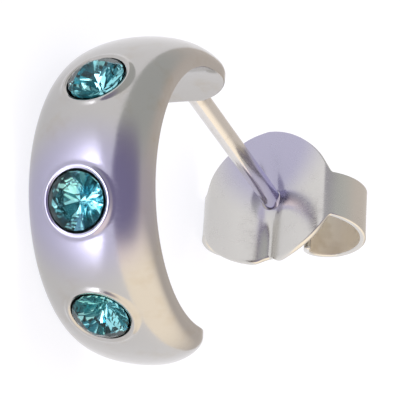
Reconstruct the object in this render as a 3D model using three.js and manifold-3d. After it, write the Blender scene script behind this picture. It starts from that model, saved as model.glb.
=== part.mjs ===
/**
 * A half-hoop stud earring: a domed C-shaped band with three flush-set crystals, an ear post soldered
 * to the end of its upper arm, and a butterfly clutch that slides on the post.
 *
 * Millimetres and degrees, +Z up. The earring is modelled about the hoop's centre, with the hoop's
 * axis along Z and its front towards -Y, and is then laid down on the side that it comes to rest on.
 * Angles round the hoop count from its front, where the middle crystal sits: positive along the upper
 * arm, which carries the post, and negative along the lower arm.
 */
import * as THREE from 'three';
import { mergeVertices } from 'three/addons/utils/BufferGeometryUtils.js';
import { ConvexHull } from 'three/addons/math/ConvexHull.js';
import Module from 'manifold-3d';

const wasm = await Module();
wasm.setup();

const { degToRad, radToDeg } = THREE.MathUtils;

// ---------------------------------------------------------------- driving dimensions

const BAND = {
  boreRadius: 4.85, // hoop's centre to the flat inside face
  apexRadius: 6.14, // hoop's centre to the crest of the dome
  edgeWall: 0.26, // thickness that the section keeps at its two edges
  halfWidth: 2.4,
  upperEnd: 128, // angles of the two end faces
  lowerEnd: 94,
  cornerRadius: 1.8, // plan radius of the corners at each end
  fullRise: 0.5, // share of the half-width below which the dome falls away towards an end
  fallPower: 0.7,
};

const CRYSTAL = {
  radius: 1.05,
  tableRadius: 0.58,
  girdle: 0.08,
  crown: 0.3,
  pavilion: 0.78,
  culetRadius: 0.06,
  girdleRadius: 6.1, // hoop's centre to the top of the girdle
  offset: -0.1, // along the hoop's axis
  gap: 0.05, // between the stone and its seat
  sides: 16,
};

const CRYSTALS = [
  { name: 'crystal_upper', angle: 46 },
  { name: 'crystal_middle', angle: 0 },
  { name: 'crystal_lower', angle: -42.5 },
];

const POST = {
  radius: 0.41,
  length: 11.2, // beyond the end face
  rootRadius: 5.6, // hoop's centre to the post's axis at the end face
  offset: 0.26, // along the hoop's axis
  slope: 27.5, // of the post's way back, below the hoop's middle plane
  solder: 0.5, // length sunk in the arm
  tipRound: 0.3,
};

const CLUTCH = {
  seat: 9.45, // end face to the plate's middle, along the post
  roll: 3.5, // turn about the post
  yaw: -13.4, // lean of the plate on the post, about its two own axes
  pitch: 3,
  sheet: 0.26,
  clearance: 0.05, // radial, round the post
  plateHalfWidth: 3.05, // half axes of the oval plate, across the strip and along it
  plateHalfLength: 3.45,
  cornerPower: 5, // sharpness of the corners where the tongues leave the plate
  nickDepth: 0.33, // in the lower side of the plate's waist
  nickWidth: 0.42,
  tongueHalfWidth: 0.86,
  tipHalfWidth: 1.3,
  bow: 0.06, // sideways run of both ends per length across the strip, towards the nick
  drift: 0.1, // further run of the upper end per length along the strip: it isn't rolled up quite square
  dish: -0.01, // how far the plate's sides bend back, per square millimetre
  valleyRadius: 0.85,
  valleyTurn: 28.7,
  faceRadius: 4.0,
  faceTurn: 5.5,
  shoulderRadius: 0.8,
  shoulderTurn: 21,
  rollRadius: 1.65,
  rollTurn: 155,
  curlRadius: 1.2,
  curlTurn: 140,
};

const STEPS = {
  dome: 14,
  arc: 46,
  corner: 7,
  strip: 52, // from the plate's middle to one tip
  across: 8,
  round: 24,
};

const SILVER = { color: 0xd6d2cd, roughness: 0.15, metalness: 1 };
const AQUA = { color: 0x3fb0b8, roughness: 0.05, metalness: 0 };

// ---------------------------------------------------------------- shared geometry

/** A closed body through rings of equally many points, with a flat fan over each end. */
function loft(rings) {
  const count = rings[0].length;
  const last = (rings.length - 1) * count;
  const index = [];
  for (let ring = 0; ring < rings.length - 1; ring++) {
    for (let i = 0; i < count; i++) {
      const a = ring * count + i;
      const b = ring * count + ((i + 1) % count);
      index.push(a, b, a + count, b, b + count, a + count);
    }
  }
  for (let i = 1; i < count - 1; i++) {
    index.push(0, i + 1, i, last, last + i, last + i + 1);
  }
  const geometry = new THREE.BufferGeometry();
  const points = rings.flat().flatMap((point) => point.toArray());
  geometry.setAttribute('position', new THREE.Float32BufferAttribute(points, 3));
  geometry.setIndex(index);
  return geometry;
}

/** The manifold-3d solid of a closed geometry, moved by a matrix. */
function toSolid(geometry, matrix = new THREE.Matrix4()) {
  const bare = geometry.clone().applyMatrix4(matrix);
  bare.deleteAttribute('normal');
  bare.deleteAttribute('uv');
  const merged = mergeVertices(bare, 1e-5);
  const mesh = new wasm.Mesh({
    numProp: 3,
    vertProperties: Float32Array.from(merged.attributes.position.array),
    triVerts: Uint32Array.from(merged.index.array),
  });
  return new wasm.Manifold(mesh);
}

/** The geometry of a manifold-3d solid. */
function toGeometry(solid) {
  const { vertProperties, triVerts } = solid.getMesh();
  const geometry = new THREE.BufferGeometry();
  geometry.setAttribute('position', new THREE.Float32BufferAttribute(vertProperties, 3));
  geometry.setIndex(Array.from(triVerts));
  return geometry;
}

/** A named mesh with its finish. */
function piece(name, geometry, finish) {
  geometry.computeVertexNormals();
  const mesh = new THREE.Mesh(geometry, new THREE.MeshStandardMaterial(finish));
  mesh.name = name;
  return mesh;
}

/** A lathed body about Y from pairs of radius and height. */
function turned(profile, segments) {
  return new THREE.LatheGeometry(profile.map(([radius, height]) => new THREE.Vector2(radius, height)), segments);
}

/** A point at an angle round the hoop, a radius from its centre and a height along its axis. */
function roundHoop(angle, radius, height = 0) {
  const turn = degToRad(angle);
  return new THREE.Vector3(-radius * Math.sin(turn), -radius * Math.cos(turn), height);
}

/** A matrix that puts the Y axis along a direction, at a point. */
function alongY(point, direction) {
  const turn = new THREE.Quaternion().setFromUnitVectors(new THREE.Vector3(0, 1, 0), direction);
  return new THREE.Matrix4().compose(point, turn, new THREE.Vector3(1, 1, 1));
}

// ---------------------------------------------------------------- band

/** Half the band's width at a distance round the bore from the nearer end. */
function bandHalfWidth(distance) {
  const inside = Math.max(0, BAND.cornerRadius - distance);
  const drop = BAND.cornerRadius - Math.sqrt(BAND.cornerRadius ** 2 - inside ** 2);
  return BAND.halfWidth - drop;
}

/** The band's section at one angle: a flat inside, two short edges and a domed outside. */
function bandSection(angle, distance) {
  const half = bandHalfWidth(distance);
  const share = Math.min(1, half / (BAND.fullRise * BAND.halfWidth));
  const shoulder = BAND.boreRadius + BAND.edgeWall;
  const rise = (BAND.apexRadius - shoulder) * share ** BAND.fallPower;
  const ring = [roundHoop(angle, BAND.boreRadius, half), roundHoop(angle, BAND.boreRadius, -half)];
  for (let i = 0; i <= STEPS.dome; i++) {
    const turn = Math.PI * (i / STEPS.dome - 0.5);
    ring.push(roundHoop(angle, shoulder + rise * Math.cos(turn), half * Math.sin(turn)));
  }
  return ring;
}

/** The band's sections from the lower end to the upper one, closer together in the corners. */
function bandRings() {
  const corner = radToDeg(BAND.cornerRadius / BAND.boreRadius);
  const rings = [];
  for (let i = 0; i <= STEPS.corner; i++) {
    const share = 1 - Math.cos((Math.PI / 2) * (i / STEPS.corner));
    rings.push(bandSection(-BAND.lowerEnd + corner * share, BAND.cornerRadius * share));
  }
  const span = BAND.upperEnd + BAND.lowerEnd - 2 * corner;
  for (let i = 1; i < STEPS.arc; i++) {
    rings.push(bandSection(-BAND.lowerEnd + corner + span * (i / STEPS.arc), BAND.cornerRadius));
  }
  for (let i = STEPS.corner; i >= 0; i--) {
    const share = 1 - Math.cos((Math.PI / 2) * (i / STEPS.corner));
    rings.push(bandSection(BAND.upperEnd - corner * share, BAND.cornerRadius * share));
  }
  return rings;
}

// ---------------------------------------------------------------- crystals and their seats

/** Where a crystal's girdle sits, with Y pointing out of the band. */
function crystalPlace(angle) {
  return alongY(roundHoop(angle, CRYSTAL.girdleRadius, CRYSTAL.offset), roundHoop(angle, 1));
}

/** A brilliant-cut stone: a pointed pavilion, a thin girdle, and a crown with a flat table. */
function crystalGeometry() {
  const bottom = -CRYSTAL.girdle - CRYSTAL.pavilion;
  return turned([
    [0, bottom],
    [CRYSTAL.culetRadius, bottom],
    [CRYSTAL.radius, -CRYSTAL.girdle],
    [CRYSTAL.radius, 0],
    [CRYSTAL.tableRadius, CRYSTAL.crown],
    [0, CRYSTAL.crown],
  ], CRYSTAL.sides);
}

/** The space cut in the band for a stone: a cone under a straight wall that is open at the top. */
function seatGeometry() {
  const wall = CRYSTAL.radius + CRYSTAL.gap;
  return turned([
    [0, -CRYSTAL.girdle - CRYSTAL.pavilion - 2 * CRYSTAL.gap],
    [wall, -CRYSTAL.girdle - CRYSTAL.gap],
    [wall, CRYSTAL.radius],
    [0, CRYSTAL.radius],
  ], 2 * CRYSTAL.sides);
}

// ---------------------------------------------------------------- post

const postRoot = roundHoop(BAND.upperEnd, POST.rootRadius, POST.offset);
const postWay = new THREE.Vector3(Math.sin(degToRad(POST.slope)), Math.cos(degToRad(POST.slope)), 0);

/** The ear post, from inside the arm to its rounded tip. */
function postGeometry() {
  const profile = [[0, -POST.solder], [POST.radius, -POST.solder]];
  for (let i = 0; i <= STEPS.corner; i++) {
    const turn = (Math.PI / 2) * (i / STEPS.corner);
    const height = POST.length - POST.tipRound * (1 - Math.sin(turn));
    profile.push([i < STEPS.corner ? POST.radius * Math.cos(turn) : 0, height]);
  }
  return turned(profile, STEPS.round);
}

/** The band and the post, soldered into one piece, with a seat for each crystal. */
function hoopAndPost() {
  let solid = toSolid(loft(bandRings())).add(toSolid(postGeometry(), alongY(postRoot, postWay)));
  for (const { angle } of CRYSTALS) {
    solid = solid.subtract(toSolid(seatGeometry(), crystalPlace(angle)));
  }
  return toGeometry(solid);
}

// ---------------------------------------------------------------- clutch

/**
 * The strip's outer face from the plate's middle to one tip, in the plane of its length (x) and the
 * way out of the plate's front (z): a valley for the post's hole, the domed face, the shoulder, the
 * roll back and the curl.
 */
function stripPath() {
  const arcs = [
    { radius: CLUTCH.valleyRadius, turn: -CLUTCH.valleyTurn },
    { radius: CLUTCH.faceRadius, turn: CLUTCH.faceTurn + CLUTCH.valleyTurn },
    { radius: CLUTCH.shoulderRadius, turn: CLUTCH.shoulderTurn },
    { radius: CLUTCH.rollRadius, turn: CLUTCH.rollTurn },
    { radius: CLUTCH.curlRadius, turn: CLUTCH.curlTurn },
  ].map(({ radius, turn }) => ({ radius, turn: degToRad(turn), length: radius * Math.abs(degToRad(turn)) }));
  const total = arcs.reduce((sum, { length }) => sum + length, 0);
  const path = [];
  for (let i = 0; i <= STEPS.strip; i++) {
    const length = total * (i / STEPS.strip);
    path.push({ length, share: length / total, ...pointOnArcs(arcs, length) });
  }
  return path;
}

/** The place and the heading after a length along a chain of arcs that starts level at the origin. */
function pointOnArcs(arcs, length) {
  let x = 0;
  let z = 0;
  let heading = 0;
  let left = length;
  for (const { radius, turn, length: arcLength } of arcs) {
    const part = Math.min(left, arcLength);
    if (part <= 0) break;
    const bend = Math.sign(turn) * (part / radius);
    const middle = heading + bend / 2;
    const chord = 2 * radius * Math.sin(Math.abs(bend) / 2);
    x += chord * Math.cos(middle);
    z -= chord * Math.sin(middle);
    heading += bend;
    left -= part;
  }
  return { x, z, heading };
}

/** Half the strip's width: an oval plate, with a nick in its lower side, that runs out into a tongue. */
function stripHalfWidth({ length, share }, lower) {
  const along = Math.min(1, length / CLUTCH.plateHalfLength);
  const plate = CLUTCH.plateHalfWidth * Math.sqrt(1 - along ** 2);
  const tongue = THREE.MathUtils.lerp(CLUTCH.tongueHalfWidth, CLUTCH.tipHalfWidth, share);
  const power = CLUTCH.cornerPower;
  const half = (plate ** power + tongue ** power) ** (1 / power);
  return lower ? half - CLUTCH.nickDepth * Math.exp(-((length / CLUTCH.nickWidth) ** 2)) : half;
}

/** One section of the strip: its outer face, then its inner face a sheet's thickness behind. */
function stripSection(step, side) {
  const dish = CLUTCH.dish * Math.max(0, Math.cos(step.heading / 2));
  const shift = CLUTCH.bow * step.x + (side > 0 ? CLUTCH.drift * step.length : 0);
  const out = new THREE.Vector3(side * Math.sin(step.heading), 0, Math.cos(step.heading));
  const ring = [];
  for (const depth of [0, CLUTCH.sheet]) {
    for (let i = 0; i <= STEPS.across; i++) {
      const across = (1 - 2 * (i / STEPS.across)) * (depth === 0 ? 1 : -1);
      const y = across * stripHalfWidth(step, across < 0);
      const point = new THREE.Vector3(side * step.x, y - shift, step.z);
      ring.push(point.addScaledVector(out, -depth - dish * y * y));
    }
  }
  return ring;
}

/** The clutch's place: its x along the strip, its z out of the plate's front, back along the post. */
function clutchPlace() {
  const front = postWay.clone().negate();
  const strip = new THREE.Vector3(0, 0, 1);
  const across = front.clone().cross(strip);
  const turn = new THREE.Quaternion().setFromRotationMatrix(new THREE.Matrix4().makeBasis(strip, across, front));
  const lean = new THREE.Euler(degToRad(CLUTCH.pitch), degToRad(CLUTCH.yaw), degToRad(CLUTCH.roll), 'ZYX');
  turn.multiply(new THREE.Quaternion().setFromEuler(lean));
  const seat = postRoot.clone().addScaledVector(postWay, CLUTCH.seat);
  return new THREE.Matrix4().compose(seat, turn, new THREE.Vector3(1, 1, 1));
}

/** The clutch: one strip of sheet, with a hole for the post and both ends rolled back. */
function clutchGeometry(place) {
  const path = stripPath();
  const rings = path.slice(1).reverse().map((step) => stripSection(step, -1));
  rings.push(...path.map((step) => stripSection(step, 1)));
  const reach = 1.6;
  const hole = turned([
    [0, -reach],
    [POST.radius + CLUTCH.clearance, -reach],
    [POST.radius + CLUTCH.clearance, reach / 2],
    [0, reach / 2],
  ], STEPS.round);
  const seat = new THREE.Vector3().setFromMatrixPosition(place);
  const holePlace = place.clone().invert().multiply(alongY(seat, postWay));
  return toGeometry(toSolid(loft(rings)).subtract(toSolid(hole, holePlace)));
}

// ---------------------------------------------------------------- assembly

/** All corner points of the pieces in a group, in that group's parent frame. */
function cornersOf(group) {
  group.updateMatrixWorld(true);
  const corners = [];
  group.traverse((node) => {
    if (!node.isMesh) return;
    const position = node.geometry.attributes.position;
    for (let i = 0; i < position.count; i++) {
      corners.push(new THREE.Vector3().fromBufferAttribute(position, i).applyMatrix4(node.matrixWorld));
    }
  });
  return corners;
}

/** The centre of volume of the pieces in a group. */
function centreOf(group) {
  const centre = new THREE.Vector3();
  let volume = 0;
  group.traverse((node) => {
    if (!node.isMesh) return;
    const position = node.geometry.attributes.position;
    const corner = (i) => new THREE.Vector3()
      .fromBufferAttribute(position, node.geometry.index.getX(i)).applyMatrix4(node.matrixWorld);
    for (let i = 0; i < node.geometry.index.count; i += 3) {
      const [a, b, c] = [corner(i), corner(i + 1), corner(i + 2)];
      const share = a.dot(b.clone().cross(c)) / 6;
      centre.addScaledVector(a.add(b).add(c), share / 4);
      volume += share;
    }
  });
  return centre.divideScalar(volume);
}

/** Turns a group on to the face of its hull that lies under its centre, and stands it on the floor. */
function layDown(group) {
  const down = new THREE.Vector3(0, 0, -1);
  const centre = centreOf(group);
  const { faces } = new ConvexHull().setFromPoints(cornersOf(group));
  const under = faces
    .filter(({ normal }) => normal.dot(down) > 0)
    .map((face) => ({ face, drop: -face.distanceToPoint(centre) / face.normal.dot(down) }))
    .reduce((best, next) => (next.drop < best.drop ? next : best)).face;
  group.quaternion.setFromUnitVectors(under.normal, down);
  const box = new THREE.Box3().setFromPoints(cornersOf(group));
  group.position.set(-(box.min.x + box.max.x) / 2, -(box.min.y + box.max.y) / 2, -box.min.z);
}

const earring = new THREE.Group();
earring.add(piece('hoop_and_post', hoopAndPost(), SILVER));

for (const { name, angle } of CRYSTALS) {
  const crystal = piece(name, toGeometry(toSolid(crystalGeometry())), AQUA);
  crystalPlace(angle).decompose(crystal.position, crystal.quaternion, crystal.scale);
  earring.add(crystal);
}

const place = clutchPlace();
const clutch = piece('butterfly_clutch', clutchGeometry(place), SILVER);
place.decompose(clutch.position, clutch.quaternion, clutch.scale);
earring.add(clutch);

layDown(earring);

const part = new THREE.Group();
part.add(earring);

export default part;
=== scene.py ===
"""A half-hoop stud earring in polished silver, laid on its side on a pale studio floor.

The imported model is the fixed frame. Each piece is made in the hoop's own frame, in millimetres, and is
then put where the model's three crystals say the hoop lies:

    x   away from the upper arm, towards the lower one
    y   back from the front of the hoop, the way the ear post runs
    z   along the hoop's axis

Angles round the hoop count from its front: positive along the upper arm, negative along the lower one.
"""

from __future__ import annotations

import logging
import math
from dataclasses import dataclass, field
from enum import Enum
from typing import Callable

import bmesh
import bpy
import numpy as np
from bpy.types import Material, Node, NodeSocket, NodeTree, Object
from mathutils import Matrix, Vector
from mathutils.geometry import delaunay_2d_cdt

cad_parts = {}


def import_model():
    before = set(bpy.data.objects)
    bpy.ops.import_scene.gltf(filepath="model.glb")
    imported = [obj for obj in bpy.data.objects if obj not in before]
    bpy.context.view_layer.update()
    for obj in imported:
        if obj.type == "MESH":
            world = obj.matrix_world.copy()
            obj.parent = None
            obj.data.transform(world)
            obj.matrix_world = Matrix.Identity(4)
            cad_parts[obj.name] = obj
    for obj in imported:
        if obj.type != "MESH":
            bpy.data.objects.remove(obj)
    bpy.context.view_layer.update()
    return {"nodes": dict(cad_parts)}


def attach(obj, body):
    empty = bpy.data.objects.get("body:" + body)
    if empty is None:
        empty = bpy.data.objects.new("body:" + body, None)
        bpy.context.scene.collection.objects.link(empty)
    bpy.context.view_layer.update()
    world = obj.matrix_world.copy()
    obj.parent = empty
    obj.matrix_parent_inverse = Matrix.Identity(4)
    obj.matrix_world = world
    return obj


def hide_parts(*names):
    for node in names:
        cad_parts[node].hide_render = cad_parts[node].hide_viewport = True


log = logging.getLogger("earring")

MM = 0.001
STONE_OFFSET = -0.1  # the stones' place along the hoop's axis, in millimetres
FLAT_DEGREE = 0.105  # width of the band's flat sheet for each degree round the hoop, in millimetres
MERGE_REACH = 4e-7  # corners of a piece that are nearer than this become one, in metres
LEAST_EDGE = 1e-8  # edges that are shorter than this go, in metres
RING_GAP = 0.6  # least gap from a hole's outer ring to the grid, as a share of the gap between its rings
RIM_SLACK = 1e-3  # how far inside a hole's rim a triangle's middle may lie, as a share of its radius
SAME_SPOT = 1e-7  # points of a flat sheet that are nearer than this are one, in the sheet's units
WORN_TURNS = tuple(math.pi / 8 * step for step in range(1, 5))  # turns round a quarter of a worn edge


class Body(Enum):
    """The bodies that move as one."""

    EARRING = "earring"
    CLUTCH = "clutch"


@dataclass(frozen=True)
class Setting:
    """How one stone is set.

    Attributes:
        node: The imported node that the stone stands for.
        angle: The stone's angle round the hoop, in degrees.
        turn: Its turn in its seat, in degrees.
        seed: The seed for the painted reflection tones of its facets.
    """

    node: str
    angle: float
    turn: float
    seed: int


SETTINGS = (
    Setting("crystal_upper", 46.0, 8.0, 45),
    Setting("crystal_middle", 0.0, 15.0, 51),
    Setting("crystal_lower", -42.5, -6.0, 61),
)


# ---------------------------------------------------------------- small helpers


def linear(colour: str) -> tuple[float, float, float, float]:
    """Turn a hex sRGB colour into a linear one.

    Args:
        colour: The colour as "#rrggbb".

    Returns:
        Linear red, green and blue, and an alpha of 1.
    """
    values = [int(colour[i : i + 2], 16) / 255 for i in (1, 3, 5)]
    red, green, blue = (v / 12.92 if v <= 0.04045 else ((v + 0.055) / 1.055) ** 2.4 for v in values)
    return red, green, blue, 1.0


def add_node(tree: NodeTree, kind: str, inputs: dict | None = None, **settings: object) -> Node:
    """Add a node to a tree, set it up and join its inputs.

    Args:
        tree: The tree that takes the node.
        kind: The node's type name.
        inputs: For each input, by name or index, an output to join, a node whose first live output is
            joined, or a value to set.
        settings: The node's own properties.

    Returns:
        The node.
    """
    node = tree.nodes.new(kind)
    for name, value in settings.items():
        setattr(node, name, value)
    for key, value in (inputs or {}).items():
        if isinstance(value, Node):
            value = next(output for output in value.outputs if output.enabled)
        if isinstance(value, NodeSocket):
            tree.links.new(value, node.inputs[key])
        else:
            node.inputs[key].default_value = value
    return node


def in_scene(name: str, data: bpy.types.ID) -> Object:
    """Make an object of some data and put it in the scene.

    Args:
        name: The object's name.
        data: Its mesh, lamp or camera.

    Returns:
        The object.
    """
    made = bpy.data.objects.new(name, data)
    bpy.context.scene.collection.objects.link(made)
    return made


def start_tree(name: str, inputs: dict[str, str]) -> tuple[NodeTree, bpy.types.NodeOutputs]:
    """Start a Geometry Nodes tree with named inputs.

    Args:
        name: The tree's name.
        inputs: The kind of each input, by the input's name.

    Returns:
        The tree and its inputs' sockets.
    """
    tree = bpy.data.node_groups.new(name, "GeometryNodeTree")
    tree.is_modifier = True
    for label, kind in {"Geometry": "Geometry", **inputs}.items():
        tree.interface.new_socket(label, in_out="INPUT", socket_type="NodeSocket" + kind)
    tree.interface.new_socket("Geometry", in_out="OUTPUT", socket_type="NodeSocketGeometry")
    return tree, add_node(tree, "NodeGroupInput").outputs


def run_tree(name: str, tree: NodeTree, values: dict[str, object]) -> Object:
    """Run a Geometry Nodes tree once and keep what it makes as a plain mesh.

    Args:
        name: The new object's name.
        tree: The tree.
        values: The value of each input, by the input's name.

    Returns:
        The object, without a modifier.
    """
    holder = in_scene(name + "_holder", bpy.data.meshes.new(name + "_holder"))
    modifier = holder.modifiers.new("make", "NODES")
    modifier.node_group = tree
    sockets = {item.name: item.identifier for item in tree.interface.items_tree if item.in_out == "INPUT"}
    for label, value in values.items():
        modifier[sockets[label]] = value
    holder.update_tag()
    mesh = bpy.data.meshes.new_from_object(holder.evaluated_get(bpy.context.evaluated_depsgraph_get()))
    mesh.name = name
    bpy.data.objects.remove(holder)
    return in_scene(name, mesh)


def eased(share: np.ndarray) -> np.ndarray:
    """Ease shares smoothly from 0 to 1, and hold them there."""
    held = np.clip(share, 0, 1)
    return held * held * (3 - 2 * held)


def arc_steps(start: float, end: float, step: float) -> np.ndarray:
    """Even values from start to end, no further apart than step."""
    return np.linspace(start, end, max(2, math.ceil(abs(end - start) / step) + 1))


def round_hoop(angle: float, radius: float, height: float = 0.0) -> Vector:
    """A point at an angle round the hoop in degrees, a radius from its centre and a height along its axis."""
    turn = math.radians(angle)
    return Vector((-radius * math.sin(turn), -radius * math.cos(turn), height))


@dataclass(frozen=True)
class HoopFrame:
    """Where the hoop lies in the row frame.

    Attributes:
        matrix: Takes the hoop's own frame, in millimetres, to the row frame, in metres.
    """

    matrix: Matrix

    @classmethod
    def from_crystals(cls, upper: Object, middle: Object, lower: Object) -> HoopFrame:
        """Find the hoop from its three crystals, which lie on one circle about its axis.

        Args:
            upper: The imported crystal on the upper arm.
            middle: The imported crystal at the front.
            lower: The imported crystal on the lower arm.

        Returns:
            The frame.
        """
        a, b, c = (np.mean([v.co for v in stone.data.vertices], axis=0) for stone in (upper, middle, lower))
        ab, cb = a - b, c - b
        normal = np.cross(cb, ab)
        weighed = np.dot(ab, ab) * cb - np.dot(cb, cb) * ab
        reach = np.cross(weighed, np.cross(ab, cb)) / (2 * np.dot(normal, normal))
        back = Vector(reach).normalized()
        axis = Vector(normal).normalized()
        if axis.z < 0:
            axis.negate()
        centre = Vector(b + reach) - STONE_OFFSET * MM * axis
        turn = Matrix((back.cross(axis), back, axis)).transposed().to_4x4()
        return cls(Matrix.Translation(centre) @ turn @ Matrix.Scale(MM, 4))

    @property
    def rotation(self) -> Matrix:
        """How the hoop is turned, without its place and scale."""
        return self.matrix.to_3x3() @ Matrix.Scale(1 / MM, 3)


def hand_over(piece: Object, body: Body, slot: str, *nodes: str) -> None:
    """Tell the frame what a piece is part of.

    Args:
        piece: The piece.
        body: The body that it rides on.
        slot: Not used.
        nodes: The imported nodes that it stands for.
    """
    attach(piece, body.value)
    if nodes:
        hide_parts(*nodes)
    log.info("%s: %d faces, rides on %s", piece.name, len(piece.data.polygons), body.value)


# ---------------------------------------------------------------- sheets and shells


@dataclass
class RoundHole:
    """A round hole in a sheet, with rings of points that keep the surface smooth about it.

    Attributes:
        place: Gives the sheet's two coordinates for a radius and a turn about the hole's centre.
        distance: Gives the distance from the hole's centre of many points of the sheet.
        radii: The rings' radii, from the hole's edge outwards.
        corners: How many points each ring has.
    """

    place: Callable[[float, float], tuple[float, float]]
    distance: Callable[[np.ndarray], np.ndarray]
    radii: list[float]
    corners: int = 96


@dataclass
class Sheet:
    """A flat grid with round holes, split into triangles, which a piece then bends into its shape.

    Attributes:
        across: The grid's first coordinates, in order.
        along: The grid's second coordinates, in order.
        holes: The holes.
        points: The corners' two coordinates.
        faces: The triangles.
        edge: Corner numbers along the grid's four sides, by side name.
        rims: Corner numbers round each hole.
    """

    across: np.ndarray
    along: np.ndarray
    holes: list[RoundHole]
    points: np.ndarray = field(init=False)
    faces: list[tuple[int, ...]] = field(init=False)
    edge: dict[str, list[int]] = field(init=False)
    rims: list[list[int]] = field(init=False)

    def __post_init__(self) -> None:
        """Lay out the points and split the sheet."""
        first, second = np.meshgrid(self.across, self.along, indexing="ij")
        grid = np.stack([first.ravel(), second.ravel()], axis=1)
        keep = np.ones(len(grid), bool)
        for hole in self.holes:
            pitch = hole.radii[-1] - hole.radii[-2]
            keep &= hole.distance(grid) > hole.radii[-1] + RING_GAP * pitch
        number = np.where(keep, np.cumsum(keep) - 1, -1).reshape(first.shape)
        points = grid[keep].tolist()
        rims = []
        for hole in self.holes:
            rims.append(range(len(points), len(points) + hole.corners))
            for ring, radius in enumerate(hole.radii):
                shift = 0.5 * (ring % 2)
                turns = [2 * math.pi * (i + shift) / hole.corners for i in range(hole.corners)]
                points += [hole.place(radius, turn) for turn in turns]
        ties = [(rim[i - 1], rim[i]) for rim in rims for i in range(len(rim))]
        flat = [Vector(point) for point in points]
        placed, _, faces, origin, *_ = delaunay_2d_cdt(flat, ties, [], 0, SAME_SPOT)
        self.points = np.array([tuple(point) for point in placed])
        middle = self.points[np.array(faces)].mean(axis=1)
        solid = np.ones(len(faces), bool)
        for hole in self.holes:
            solid &= hole.distance(middle) > hole.radii[0] * (1 - RIM_SLACK)
        self.faces = [tuple(face) for face, kept in zip(faces, solid) if kept]
        now = {old: new for new, olds in enumerate(origin) for old in olds}
        self.rims = [[now[i] for i in rim] for rim in rims]
        sides = {"start": number[0], "end": number[-1], "low": number[:, 0], "high": number[:, -1]}
        self.edge = {name: [now[int(i)] for i in side] for name, side in sides.items()}


@dataclass
class Shell:
    """The skin of one piece, which grows row by row until it is closed.

    Attributes:
        points: Its corners.
        faces: Its faces, as corner numbers.
    """

    points: list[list[float]]
    faces: list[tuple[int, ...]]

    def add_row(self, row: np.ndarray | list) -> list[int]:
        """Add a row of points, and give their numbers."""
        self.points += np.asarray(row).tolist()
        return list(range(len(self.points) - len(row), len(self.points)))

    def bridge(self, rows: list[list[int]], closed: bool) -> None:
        """Join rows of equally many corners, each to the next, with four-sided faces.

        Args:
            rows: Each row's corner numbers.
            closed: Whether the rows close on themselves.
        """
        for first, second in zip(rows, rows[1:]):
            count = len(first)
            for i in range(count if closed else count - 1):
                after = (i + 1) % count
                self.faces.append((first[i], first[after], second[after], second[i]))

    def close(self, loop: list[int], loops: list[np.ndarray], tip: np.ndarray) -> None:
        """Carry a loop of corners on through more loops and close it at a point.

        Args:
            loop: The first loop's corner numbers.
            loops: The further loops' points, in order.
            tip: The point where it closes.
        """
        rows = [loop] + [self.add_row(points) for points in loops]
        self.bridge(rows, closed=True)
        (end,) = self.add_row([tip])
        last = rows[-1]
        self.faces += [(last[i - 1], last[i], end) for i in range(len(last))]

    def piece(self, name: str, places: list[Matrix], finishes: list[Material], inner: int) -> Object:
        """Make the closed shell a mesh object whose place is in its mesh.

        Args:
            name: The object's name.
            places: The matrices that take it to the row frame, in order.
            finishes: Its two materials.
            inner: How many of the last faces take the second material.

        Returns:
            The object, with its doubles merged and its faces pointing out.
        """
        points = np.array(self.points)
        for place in places:
            matrix = np.array(place)
            points = points @ matrix[:3, :3].T + matrix[:3, 3]
        mesh = bpy.data.meshes.new(name)
        mesh.from_pydata(points.tolist(), [], self.faces)
        for finish in finishes:
            mesh.materials.append(finish)
        mesh.polygons.foreach_set("material_index", [0] * (len(self.faces) - inner) + [1] * inner)
        shape = bmesh.new()
        shape.from_mesh(mesh)
        bmesh.ops.remove_doubles(shape, verts=shape.verts, dist=MERGE_REACH)
        bmesh.ops.dissolve_degenerate(shape, edges=shape.edges, dist=LEAST_EDGE)
        bmesh.ops.recalc_face_normals(shape, faces=shape.faces)
        for face in shape.faces:
            face.smooth = True
        shape.to_mesh(mesh)
        shape.free()
        return in_scene(name, mesh)


# ---------------------------------------------------------------- finishes


def per_size(size: float) -> float:
    """The texture scale for a pattern whose marks are of a size in millimetres."""
    return 1 / (size * MM)


def blended(
    tree: NodeTree, pattern: Node, reach: tuple[float, float, float], tones: tuple, easing: str = "LINEAR"
) -> Node:
    """Blend two tones by a pattern.

    Args:
        tree: The material's tree.
        pattern: The pattern's last node.
        reach: The pattern's values where the second tone starts and is fullest, and its fullest share.
        tones: The two tones, each a linear colour or a node.
        easing: How the blend runs from the one to the other.

    Returns:
        The node that gives the blended colour.
    """
    start, full, most = reach
    share = add_node(
        tree,
        "ShaderNodeMapRange",
        {"Value": pattern, "From Min": start, "From Max": full, "To Max": most},
        interpolation_type=easing,
    )
    return add_node(tree, "ShaderNodeMix", {"Factor": share, "A": tones[0], "B": tones[1]}, data_type="RGBA")


@dataclass(frozen=True)
class Finish:
    """What every finish has: a name, and one shader over its patterns.

    Attributes:
        name: The material's name.
    """

    name: str

    def looks(self, tree: NodeTree) -> dict[str, object]:
        """Lay out the finish's patterns in a tree and give the shader's settings."""
        raise NotImplementedError

    def material(self) -> Material:
        """Build the node material.

        Returns:
            The material.
        """
        made = bpy.data.materials.new(self.name)
        made.use_nodes = True
        tree = made.node_tree
        tree.nodes.clear()
        shader = add_node(tree, "ShaderNodeBsdfPrincipled", self.looks(tree))
        add_node(tree, "ShaderNodeOutputMaterial", {"Surface": shader})
        return made


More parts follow.
